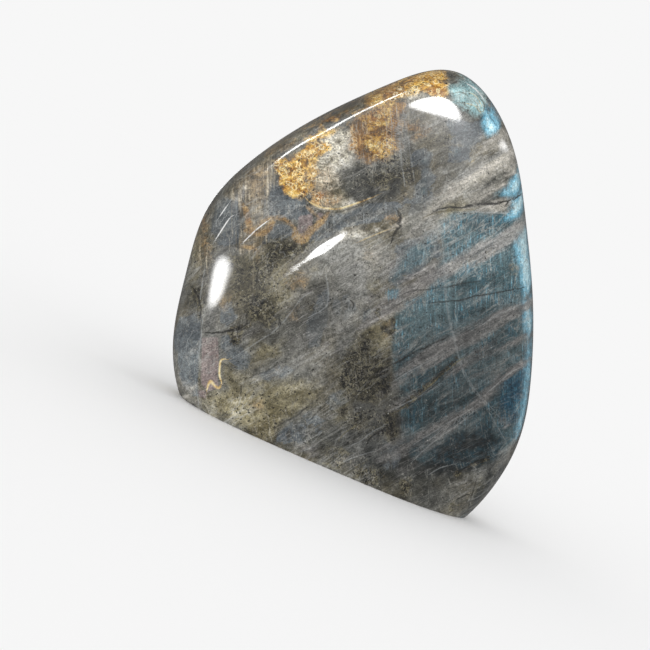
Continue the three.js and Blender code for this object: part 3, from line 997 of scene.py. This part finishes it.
class Shader:
    """Makes one material's nodes. Each method returns an output socket."""

    def __init__(self, name):
        self.material = bpy.data.materials.new(name)
        self.material.use_nodes = True
        self.nodes = self.material.node_tree.nodes
        self.links = self.material.node_tree.links
        self.surface = self.nodes["Principled BSDF"].inputs

    def put(self, socket, value):
        if isinstance(value, bpy.types.NodeSocket):
            self.links.new(value, socket)
        else:
            socket.default_value = value

    def node(self, kind, inputs=None, **settings):
        node = self.nodes.new("ShaderNode" + kind)
        for key, value in settings.items():
            setattr(node, key, value)
        for key, value in (inputs or {}).items():
            self.put(node.inputs[key], value)
        return node

    def attribute(self, name):
        return self.node("Attribute", attribute_name=name).outputs["Vector"]

    def split(self, vector):
        return list(self.node("SeparateXYZ", {0: vector}).outputs)

    def math(self, operation, a, b=0.0, c=0.0):
        return self.node("Math", {0: a, 1: b, 2: c}, operation=operation).outputs[0]

    def minus(self, a, b):
        return self.math("SUBTRACT", a, b)

    def shift(self, value, texture, amount):
        """The value, raised where the texture is over a half and lowered where it is under."""
        return self.math("MULTIPLY_ADD", self.minus(texture, 0.5), amount, value)

    def times(self, *values):
        product = values[0]
        for value in values[1:]:
            product = self.math("MULTIPLY", product, value)
        return product

    def blend(self, *weighted):
        """The sum of values, each given with its weight."""
        total = 0.0
        for value, weight in weighted:
            total = self.math("MULTIPLY_ADD", value, weight, total)
        return total

    def most(self, *values):
        largest = values[0]
        for value in values[1:]:
            largest = self.math("MAXIMUM", largest, value)
        return largest

    def span(self, value, start, end, low=0.0, high=1.0):
        inputs = {0: value, 1: start, 2: end, 3: low, 4: high}
        return self.node("MapRange", inputs, interpolation_type="SMOOTHSTEP").outputs[0]

    def mix(self, amount, a, b, blend="MIX"):
        node = self.node("Mix", data_type="RGBA", blend_type=blend)
        for key, value in {0: amount, 6: a, 7: b}.items():
            self.put(node.inputs[key], value)
        return node.outputs[2]

    def ramp(self, value, stops):
        node = self.node("ValToRGB", {0: value})
        elements = node.color_ramp.elements
        while len(elements) < len(stops):
            elements.new(0.5)
        for element, (position, colour) in zip(elements, stops):
            element.position = position
            element.color = linear(colour)
        return node.outputs[0]

    def turned(self, place, size, angle=0.0, start=0.0):
        """The place as a texture needs it for features of the given size, in units."""
        inputs = {"Vector": place, "Location": (start, start, start), "Scale": size}
        inputs["Rotation"] = (0, 0, math.radians(angle))
        return self.node("Mapping", inputs, vector_type="TEXTURE").outputs[0]

    def noise(self, place, size, angle=0.0, detail=2.0, rough=0.5, twist=0.0, start=0.0):
        inputs = {"Vector": self.turned(place, size, angle, start), "Scale": 1.0}
        inputs |= {"Detail": detail, "Roughness": rough, "Distortion": twist}
        return self.node("TexNoise", inputs).outputs["Fac"]

    def bent(self, place, size, reach):
        """The place, shifted softly by up to about a third of the given reach."""
        small = self.node("VectorMath", {0: place, 3: 1 / size}, operation="SCALE").outputs[0]
        noise = self.node("TexNoise", {"Vector": small, "Scale": 1.0, "Detail": 2.0}).outputs["Color"]
        middle = self.node("VectorMath", {0: noise, 1: (0.5, 0.5, 0.5)}, operation="SUBTRACT").outputs[0]
        move = self.node("VectorMath", {0: middle, 3: reach}, operation="SCALE").outputs[0]
        return self.node("VectorMath", {0: place, 1: move}, operation="ADD").outputs[0]

    def cells(self, place, size, angle=0.0):
        """Patches of the given size: each one's own value, and the distance to its middle."""
        cells = self.node("TexVoronoi", {"Vector": self.turned(place, size, angle), "Scale": 1.0})
        return self.split(cells.outputs["Color"])[0], cells.outputs["Distance"]

    def contour(self, texture, half_width, level):
        return self.span(self.math("ABSOLUTE", self.minus(texture, level)), half_width, 0.0)


NOISES = {
    # size of its features across, up and through the stone in units, angle, detail, roughness,
    # twist, and how far along it starts
    "cloud": ((64, 44, 50), DRIFT, 4, 0.6, 0, 0),
    "tint": ((46, 60, 50), 0, 3, 0.5, 0, 300),
    "drift": ((34, 8, 26), DRIFT, 5, 0.7, 0.6, 0),
    "streak": ((30, 2.4, 12), DRIFT, 3, 0.68, 0.2, 0),
    "veined": ((46, 8, 26), DRIFT, 4, 0.62, 0.5, 150),
    "smoky": ((70, 11, 34), DRIFT - 4, 3, 0.55, 1.0, 210),
    "upright": ((1.5, 18, 12), 0, 2, 0.6, 0.15, 0),
    "curtain": ((3.2, 60, 20), 0, 3, 0.7, 0.1, 0),
    "blotch": ((24, 20, 22), 0, 5, 0.7, 0.6, 90),
    "mottle": ((12, 10, 11), 0, 5, 0.74, 0.5, 0),
    "small": ((4.6, 4.2, 4.6), 0, 2, 0.7, 0.5, 60),
    "fleck": ((2.7, 2.7, 2.7), 0, 1, 0.5, 0, 31),
    "grain": ((1.6, 1.6, 1.6), 0, 1, 0.5, 0, 11),
    "curled": ((11, 11, 11), 0, 1.5, 0.5, 2.2, 40),
    "slanting": ((74, 13, 40), DRIFT, 2, 0.5, 0.6, 20),
    "steep": ((40, 12, 30), -58, 2, 0.5, 0.8, 0),
    "hairy": ((6, 30, 12), -12, 2, 0.5, 0.7, 70),
    "hanging": ((5, 38, 14), 4, 2, 0.5, 0.9, 330),
    "long": ((52, 4.5, 22), DRIFT + 2, 2, 0.5, 0.8, 240),
    "short": ((34, 5.0, 16), DRIFT - 3, 2, 0.5, 0.7, 270),
    "wormy": ((6.6, 6.6, 6.6), 0, 0.6, 0.5, 2.2, 0),
    "crumpled": ((4.6, 4.6, 4.6), 0, 1, 0.5, 2.0, 360),
}

# Thin lines where a texture passes a level: the texture, half their width, and the level
CONTOURS = {
    "curl": ("curled", 0.04, 0.5),
    "wisp": ("slanting", 0.03, 0.5),
    "cross": ("steep", 0.022, 0.5),
    "hair": ("hairy", 0.03, 0.5),
    "drape": ("hanging", 0.03, 0.5),
    "strand": ("long", 0.022, 0.5),
    "strand_dark": ("short", 0.016, 0.5),
    "worm": ("rings", 0.12, 0.36),
    "worm_side": ("wormy", 0.05, 0.41),
    "crumb": ("crumpled", 0.08, 0.54),
    "crumb_dark": ("crumpled", 0.08, 0.42),
}

# Textures made of others, with the share that each takes
BLENDS = {
    "ground": {"cloud": 0.27, "drift": 0.26, "mottle": 0.34, "small": 0.13},
    "clump": {"mottle": 0.72, "small": 0.28},
    "ink": {"small": 0.6, "mottle": 0.4},
    "still": {"blotch": 0.46, "small": 0.2, "curtain": 0.34},
    "fine": {"upright": 0.4, "mottle": 0.45, "small": 0.15},
    "sheet": {"curtain": 0.6, "mottle": 0.4},
    "band": {"streak": 0.27, "veined": 0.31, "mottle": 0.27, "small": 0.15},
    "facet": {"large": 0.55, "little": 0.45},
}


def stone_textures(s, place):
    """All the textures that the colours and the polish are made of, by name."""
    t = {name: s.noise(place, *values) for name, values in NOISES.items()}
    broken = s.bent(place, 9.0, 7.0)
    t["large"] = s.cells(broken, (20, 13, 18), DRIFT)[0]
    t["little"] = s.cells(broken, (7, 9, 8), 12)[0]
    t["rings"] = s.cells(s.bent(place, 5.0, 6.0), (6.4, 6.4, 6.4))[1]
    t["smoke"] = s.span(t["smoky"], 0.5, 0.7)
    t["steel"] = s.span(t["upright"], 0.55, 0.68)
    for name, (texture, half_width, level) in CONTOURS.items():
        t[name] = s.contour(t[texture], half_width, level)
    for name, parts in BLENDS.items():
        t[name] = s.blend(*[(t[part], weight) for part, weight in parts.items()])
    return t


# How each marking lies over what is under it: its texture, the texture that breaks its
# edges and by how much, where its mask starts and ends, and how far it covers
COVERS = {
    "pale": ("ground", "cloud", 0.9, 0.15, 0.85, 0.8),
    "shade": ("ground", "blotch", 0.9, 0.15, 0.85, 0.9),
    "slate": ("ground", "facet", 0.7, 0.34, 0.62, 0.85),
    "olive": ("ground", "blotch", 1.3, 0.25, 0.8, 0.85),
    "milk": ("ground", "cloud", 1.0, 0.25, 0.85, 0.75),
    "coal": ("ground", "mottle", 1.4, 0.3, 0.75, 0.92),
    "dark": ("clump", "mottle", 2.2, 0.3, 0.75, 0.95),
    # flash, teal and saturated paint the stone's blue flash into its colour as it shows from the front: a
    # painted sheen that the real stone shows only toward some lights, over its own blue-grey
    "flash": ("still", "blotch", 1.0, 0.25, 0.75, 0.92),
    "teal": ("still", "blotch", 1.3, 0.25, 0.8, 0.88),
    "deep": ("still", "blotch", 1.1, 0.25, 0.8, 0.9),
    "saturated": ("still", "curtain", 1.3, 0.3, 0.8, 0.88),
    "bright": None,  # painted sheen: the flash's bright band along the right rim, laid with its own colours
    "beige": ("band", "veined", 1.3, 0.22, 0.85, 0.9),
    "grey_stripe": ("band", "streak", 1.0, 0.3, 0.7, 0.55),
    "veil": ("band", "veined", 1.5, 0.2, 0.85, 0.9),
    "chips": ("sheet", "upright", 1.6, 0.3, 0.85, 0.75),
    "stripes": ("sheet", "curtain", 1.6, 0.35, 0.85, 0.78),
    "mauve": ("fine", "mottle", 0.5, 0.35, 0.65, 0.85),
    "cream": ("clump", "mottle", 1.4, 0.25, 0.8, 0.9),
    "rim_dark": ("band", "mottle", 1.0, 0.25, 0.75, 0.9),
    "crest_brown": ("band", "mottle", 1.0, 0.25, 0.75, 0.92),
    "fibres": ("fine", "mottle", 1.5, 0.25, 0.8, 0.95),
    "gold": ("clump", "mottle", 1.5, 0.32, 0.72, 0.92),
    "amber": ("fine", "mottle", 1.5, 0.25, 0.9, 0.55),
    "fringe": ("fine", "mottle", 1.0, 0.2, 0.75, 0.8),
    "rust": ("clump", "mottle", 1.6, 0.35, 0.85, 0.8),
    "ink": ("ink", "small", 1.7, 0.28, 0.6, 0.9),
    # crest_bright: the pale cyan flash at the crest, painted sheen over the stone's blue-grey
    "crest_bright": ("still", "mottle", 0.9, 0.25, 0.75, 0.92),
    "crest_blue": ("band", "streak", 0.9, 0.3, 0.7, 0.9),
}


def most_of(s, zones, *names):
    """How dense the densest of some layers is."""
    return s.most(*[zones[name] for name in names])


def stone_ground(s, t):
    """Cloudy grey, warmer in places."""
    warm = s.span(t["tint"], 0.42, 0.62)
    return s.mix(warm, s.ramp(t["ground"], PALETTE["ground"]), s.ramp(t["ground"], PALETTE["ground_warm"]))


def lay_markings(s, zones, t, aside, colour):
    """Lay each marking over the ground, from the deepest to the nearest."""
    for name, cover in COVERS.items():
        if cover is None:
            colour = lay_glow(s, zones, t, aside, lay_sparks(s, zones, t, colour))
            continue
        texture, edge, amount, start, end, most = cover
        moved = s.shift(zones[name], t[edge], amount)
        mask = s.times(s.span(moved, start, end, 0.0, most), s.span(zones[name], 0.02, 0.2))
        colour = s.mix(mask, colour, s.ramp(t[texture], PALETTE[name]))
    return colour


def lay_sparks(s, zones, t, colour):
    """Richer blue patches in the painted flash sheen, and upright lines in it, bright and dark."""
    blue = s.span(most_of(s, zones, "flash", "teal", "saturated"), 0.35, 0.75)
    patchy = s.span(t["blotch"], 0.45, 0.6)
    colour = s.mix(s.times(blue, patchy, 0.5), colour, linear(TONES["blue_patch"]))
    dark = s.times(s.span(t["upright"], 0.42, 0.3), blue, 0.5)
    shown = s.minus(1.0, s.span(zones["deep"], 0.2, 0.7))
    pale = s.times(s.span(t["upright"], 0.57, 0.7), blue, s.blend((patchy, 0.7), (0.3, 1.0)), shown, 0.7)
    colour = s.mix(dark, colour, linear(TONES["blue_shadow"]))
    return s.mix(pale, colour, linear(TONES["blue_spark"]))


def lay_glow(s, zones, t, aside, colour):
    """A painted sheen: the flash's bright blue band along the right rim, broken up where it runs round the
    side.
    """
    torn = 0.0
    for name, amount in GLOW_GAPS.items():
        torn = s.shift(torn, t[name], amount)
    left = s.minus(s.math("MULTIPLY_ADD", aside, torn, zones["bright"]), s.times(aside, GLOW_LOSS))
    level = s.minus(s.shift(zones["bright"], t["fine"], GLOW_LIVELY), s.times(aside, GLOW_FALL))
    return s.mix(s.span(left, 0.04, 0.5), colour, s.ramp(level, GLOW))


# Soft pale bands and fine lines, and short curled ones where the stone is coarse, in the
# order in which they are laid: texture, place, strength and tone
WISPS = (
    ("smoke", "smooth", 0.4, (172, 172, 167)),
    ("wisp", "uncrusted", 0.42, (184, 184, 178)),
    ("drape", "draped", 0.5, (204, 202, 192)),
    ("strand", "hazy", 0.5, (196, 194, 190)),
    ("strand_dark", "hazy_blotches", 0.5, (66, 66, 60)),
    ("steel", "slate", 0.4, (184, 190, 192)),
    ("cross", "uncrusted", 0.34, (184, 184, 178)),
    ("hair", "blotches", 0.38, (186, 182, 170)),
    ("curl", "coarse", 0.55, (186, 178, 156)),
    ("crumb_dark", "pitted", 0.8, (34, 30, 16)),
    ("crumb", "pitted", 0.6, (168, 160, 126)),
    ("hair", "fibres", 0.3, (244, 222, 176)),
    ("curl", "brown", 0.6, (96, 66, 26)),
    ("worm_side", "gold", 0.6, (132, 84, 22)),
    ("worm", "gold", 0.75, (252, 234, 178)),
    ("worm_side", "cream", 0.28, (134, 126, 106)),
    ("worm", "cream", 0.6, (236, 230, 208)),
)


def wisp_places(s, zones, t):
    """How much of each kind of wisp shows at a place, from 0 to 1."""
    patches = s.span(t["cloud"], 0.4, 0.6)
    blotches = s.span(t["blotch"], 0.45, 0.6)
    coarse = most_of(s, zones, "dark", "coal", "olive", "cream", "fibres")
    smooth = s.minus(1.0, s.span(coarse, 0.3, 0.9))
    haze = s.span(most_of(s, zones, "veil", "beige", "milk"), 0.25, 0.75, 0.4, 1.0)
    crusted = s.span(most_of(s, zones, "fibres", "gold"), 0.3, 0.8)
    pitted = s.span(most_of(s, zones, "dark", "pits", "ink"), 0.3, 0.8)
    return {
        "smooth": s.times(smooth, patches),
        "uncrusted": s.times(patches, s.minus(1.0, s.times(crusted, 0.8))),
        "draped": s.times(zones["drapes"], blotches),
        "hazy": s.times(smooth, haze),
        "hazy_blotches": s.times(haze, blotches),
        "slate": s.times(s.span(zones["slate"], 0.4, 0.8), patches),
        "blotches": blotches,
        "coarse": s.times(s.span(coarse, 0.2, 0.8), blotches),
        "pitted": s.times(pitted, s.span(t["mottle"], 0.4, 0.56)),
        "fibres": s.span(zones["fibres"], 0.3, 0.8),
        "brown": s.span(most_of(s, zones, "fibres", "crest_brown"), 0.3, 0.8),
        "gold": s.span(zones["gold"], 0.35, 0.8),
        "cream": s.span(zones["cream"], 0.35, 0.8),
    }


def lay_wisps(s, zones, t, colour):
    places = wisp_places(s, zones, t)
    for texture, place, amount, tone in WISPS:
        colour = s.mix(s.times(t[texture], places[place], amount), colour, linear(tone))
    return colour


# How far each kind of thin line wiggles, in half widths, and how far it covers
LINE_LOOKS = {
    "thread": (5.0, 0.55),
    "olive_line": (4.0, 0.85),
    "gold_line": (2.0, 0.95),
    "crack": (6.0, 0.92),
    # glint: painted highlights
    "glint": (0.0, 1.0),
}


def draw_lines(s, lines, t, colour):
    patchy = s.span(t["mottle"], 0.36, 0.54, 0.35, 1.0)
    for name, (wiggle, most) in LINE_LOOKS.items():
        across, strength, _ = lines[name]
        moved = s.shift(across, t["mottle"], wiggle)
        mask = s.times(s.span(s.math("ABSOLUTE", moved), 1.5, 0.2), strength, patchy, most)
        over = linear(TONES[name]) if name in TONES else s.ramp(t["clump"], PALETTE[name])
        colour = s.mix(mask, colour, over)
    return colour


def draw_flecks(s, zones, t, colour):
    """Fine grain, and small dark and pale flecks, more of them where the stone is coarse."""
    detail = s.blend((t["grain"], 1.5), (t["small"], 0.65), (t["mottle"], 0.3), (t["facet"], 0.26))
    colour = s.mix(1.0, colour, s.minus(detail, DETAIL_MIDDLE), blend="MULTIPLY")
    coarse = most_of(s, zones, "dark", "coal", "olive", "gold", "cream", "crest_brown")
    more = s.span(coarse, 0.1, 0.8, 0.0, 0.05)
    pitted = s.times(zones["pits"], s.span(t["mottle"], 0.42, 0.56), 0.14)
    dark = s.span(s.minus(s.minus(t["fleck"], more), pitted), 0.31, 0.22)
    pale = s.span(s.math("ADD", t["fleck"], more), 0.76, 0.84)
    colour = s.mix(s.times(dark, 0.88), colour, linear(TONES["dark_fleck"]))
    return s.mix(s.times(pale, 0.6), colour, linear(TONES["pale_fleck"]))


def stored_marks(s):
    """Each layer's density and each kind of line's values, as the mesh holds them."""
    zones = {}
    for i in range(0, len(ZONE_LAYERS), 3):
        zones.update(zip(ZONE_LAYERS[i : i + 3], s.split(s.attribute(f"zones_{i // 3}"))))
    return zones, {name: s.split(s.attribute(f"line_{name}")) for name in LINES}


def stone_colour(s, place, zones, lines, t):
    """Ground, markings, wisps, painted shade and painted light, flecks and lines, one over the other."""
    behind = s.split(place)[2]
    for name, amount in GLOW_WANDER.items():
        behind = s.shift(behind, t[name], amount)
    colour = lay_markings(s, zones, t, s.span(behind, *GLOW_ENDS), stone_ground(s, t))
    colour = lay_wisps(s, zones, t, colour)
    # painted shade where the dim layer lies, then painted light where the lit layer lies
    shade = s.times(zones["dim"], s.minus(1.0, zones["bright"]), 1 - DIMMED)
    colour = s.mix(shade, colour, (0, 0, 0, 1))
    colour = s.mix(zones["lit"], colour, (LIT, LIT, LIT, 1), blend="MULTIPLY")
    colour = draw_flecks(s, zones, t, colour)
    return draw_lines(s, lines, t, colour)


def polished_material():
    s = Shader("polished_labradorite")
    place = s.attribute("place")
    zones, lines = stored_marks(s)
    t = stone_textures(s, place)
    s.put(s.surface["Base Color"], stone_colour(s, place, zones, lines, t))
    s.put(s.surface["Roughness"], s.span(t["mottle"], 0.3, 0.7, *ROUGHNESS))
    coarse = most_of(s, zones, "dark", "coal", "olive", "gold", "fibres")
    grain = s.blend((t["small"], 0.5), (t["mottle"], 0.25), (t["upright"], 0.25))
    rise = s.times(grain, s.span(coarse, 0.1, 0.7, 0.5, 1.0))
    bump = s.node("Bump", {"Strength": 1.0, "Distance": UNEVEN * MM, "Height": rise}).outputs[0]
    s.put(s.surface["Normal"], bump)
    s.put(s.surface["Coat Normal"], bump)
    s.put(s.surface["Coat Weight"], s.minus(1.0, zones["worn"]))
    s.surface["Coat Roughness"].default_value = COAT_ROUGHNESS
    s.surface["Coat IOR"].default_value = COAT_IOR
    return s.material


def sawn_material():
    """The same cloudy grey, dull, with the faint arcs that a round saw leaves."""
    s = Shader("sawn_labradorite")
    at = s.node("TexCoord").outputs["Object"]
    place = s.node("VectorMath", {0: at, 3: UNITS_PER_MM / MM}, operation="SCALE").outputs[0]
    cloud = s.noise(place, (60, 22, 40), angle=14, detail=4, rough=0.62, twist=0.5)
    mottle = s.noise(place, (12, 9, 11), detail=5, rough=0.74, twist=0.5)
    grain = s.noise(place, (1.6, 1.6, 1.6), detail=1)
    away = s.node("VectorMath", {0: at, 1: SAW_CENTRE}, operation="DISTANCE").outputs["Value"]
    arcs = s.math("SINE", s.math("MULTIPLY_ADD", mottle, 2.0, s.times(away, 2 * math.pi / SAW_PITCH)))
    tone = s.blend((cloud, 0.5), (mottle, 0.3), (grain, 0.2), (arcs, 0.02))
    s.put(s.surface["Base Color"], s.ramp(tone, PALETTE["sawn"]))
    s.put(s.surface["Roughness"], s.span(mottle, 0.35, 0.65, *SAWN_ROUGHNESS))
    height = s.blend((arcs, 0.3), (grain, 0.9), (mottle, 0.6))
    bump = s.node("Bump", {"Strength": 1.0, "Distance": SAW_DEPTH, "Height": height}).outputs[0]
    s.put(s.surface["Normal"], bump)
    return s.material


# Studio

LIGHT_DISTANCE = 700.0  # mm from the stone's middle
STONE_MIDDLE = np.array([-4.0, 0.0, 50.0])
BACKDROP = 0.93  # how bright the floor and what lies behind the stone look
AROUND = 0.98  # the even light that falls on the stone from all sides
FLOOR_HALF = 3.0  # m from the middle of the floor to each side
IN_POLISH = 0.13  # how bright the room is where the polish mirrors it

# The lights that the polish mirrors. Each is soft from the given share of its size outwards.
MIRRORED_LIGHTS = {
    # shape, degrees right and up from the camera's direction, width and height in mm, spin,
    # brightness, soft from
    "top_box": ("ELLIPSE", 16.2, 32.1, 188.0, 360.0, -67.3, 19.0, 0.7),
    "left_box": ("ELLIPSE", -55.3, 34.3, 430.0, 175.0, -6.3, 17.0, 0.15),
    "middle_spot": ("ELLIPSE", -23.9, 23.5, 158.0, 54.0, -16.1, 14.0, 0.7),
    "tall_strip": ("RECTANGLE", -13.2, 45.6, 597.0, 44.0, 88.3, 17.0, 1.0),
    "side_box": ("ELLIPSE", 61.3, 117.0, 720.0, 70.0, -9.5, 4.2, 0.1),
    "back_box": ("ELLIPSE", -6.0, 173.0, 220.0, 110.0, 10.0, 3.4, 0.2),
}


def light_axes(right, up, spin):
    right, up, spin = np.radians([right, up, spin])
    way = (
        math.sin(right) * RIGHT
        + math.cos(right) * math.sin(up) * UP
        - math.cos(right) * math.cos(up) * FORWARD
    )
    across = np.cross(UP, way)
    across /= np.linalg.norm(across)
    upward = np.cross(way, across)
    turned = across * math.cos(spin) + upward * math.sin(spin)
    return turned, np.cross(way, turned), way


def soften(data, start):
    """Let an oval light fade from a share of its size out to its edge."""
    data.use_nodes = True
    nodes, links = data.node_tree.nodes, data.node_tree.links
    away = nodes.new("ShaderNodeVectorMath")
    away.operation = "DISTANCE"
    away.inputs[1].default_value = (0.5, 0.5, 0.0)
    links.new(nodes.new("ShaderNodeNewGeometry").outputs["Parametric"], away.inputs[0])
    fade = nodes.new("ShaderNodeMapRange")
    fade.interpolation_type = "SMOOTHSTEP"
    for socket, value in zip(list(fade.inputs)[1:5], (0.5 * start, 0.5, 1.0, 0.0)):
        socket.default_value = value
    links.new(away.outputs["Value"], fade.inputs[0])
    links.new(fade.outputs[0], nodes["Emission"].inputs["Strength"])


def make_light(name, shape, right, up, width, height, spin, brightness, start):
    data = bpy.data.lights.new(name, "AREA")
    data.shape = shape
    data.size, data.size_y = width * MM, height * MM
    data.energy = brightness * math.pi * data.size * data.size_y
    if start < 1:
        soften(data, start)
    light = bpy.data.objects.new(name, data)
    axes = light_axes(right, up, spin)
    turn = Matrix(np.stack(axes, 1).tolist())
    place = metres(STONE_MIDDLE + axes[2] * LIGHT_DISTANCE)
    light.matrix_world = Matrix.Translation(place) @ turn.to_4x4()
    light.visible_diffuse = False
    bpy.context.scene.collection.objects.link(light)


def make_world():
    """White behind the stone, soft even light round it, and darkness in its polish."""
    world = bpy.data.worlds.new("studio")
    bpy.context.scene.world = world
    world.use_nodes = True
    nodes, links = world.node_tree.nodes, world.node_tree.links
    nodes.clear()
    path = nodes.new("ShaderNodeLightPath")

    def background(strength):
        node = nodes.new("ShaderNodeBackground")
        node.inputs["Strength"].default_value = strength
        node.inputs["Color"].default_value = (1, 1, 1, 1)
        return node

    last = background(AROUND)
    for ray, strength in (("Is Glossy Ray", IN_POLISH), ("Is Camera Ray", BACKDROP)):
        mix = nodes.new("ShaderNodeMixShader")
        links.new(path.outputs[ray], mix.inputs["Fac"])
        links.new(last.outputs[0], mix.inputs[1])
        links.new(background(strength).outputs[0], mix.inputs[2])
        last = mix
    links.new(last.outputs[0], nodes.new("ShaderNodeOutputWorld").inputs["Surface"])


def make_floor():
    """A pale floor, as bright where nothing shades it as what lies behind it."""
    corners = [(x * FLOOR_HALF, y * FLOOR_HALF, 0) for x, y in ((-1, -1), (1, -1), (1, 1), (-1, 1))]
    mesh = bpy.data.meshes.new("floor")
    mesh.from_pydata(corners, [], [(0, 1, 2, 3)])
    floor = bpy.data.objects.new("floor", mesh)
    bpy.context.scene.collection.objects.link(floor)
    floor.visible_glossy = False
    floor.visible_diffuse = False
    material = bpy.data.materials.new("pale_floor")
    material.use_nodes = True
    surface = material.node_tree.nodes["Principled BSDF"].inputs
    share = BACKDROP / AROUND
    surface["Base Color"].default_value = (share, share, share, 1)
    surface["Roughness"].default_value = 1.0
    surface["Specular IOR Level"].default_value = 0.0
    mesh.materials.append(material)


def make_camera():
    data = bpy.data.cameras.new("camera")
    data.sensor_width = SENSOR
    data.lens = UNITS_PER_MM * DISTANCE * SENSOR / PICTURE
    camera = bpy.data.objects.new("camera", data)
    turn = Matrix(np.stack([RIGHT, UP, -FORWARD], 1).tolist())
    camera.matrix_world = Matrix.Translation(metres(EYE)) @ turn.to_4x4()
    bpy.context.scene.collection.objects.link(camera)
    bpy.context.scene.camera = camera


def make_stone():
    mesh = stone_mesh()
    points, depth = read_mesh(mesh)
    mark_mesh(mesh, points, depth)
    mesh.vertices.foreach_set("co", ((points + SHIFT) * MM).ravel())
    mesh.materials.append(polished_material())
    mesh.materials.append(sawn_material())
    stone = bpy.data.objects.new("labradorite", mesh)
    bpy.context.scene.collection.objects.link(stone)
    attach(stone, "root")
    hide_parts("stone")


make_camera()
make_world()
make_floor()
for light_name, light_values in MIRRORED_LIGHTS.items():
    make_light(light_name, *light_values)
make_stone()
bpy.context.scene.view_settings.view_transform = "Standard"
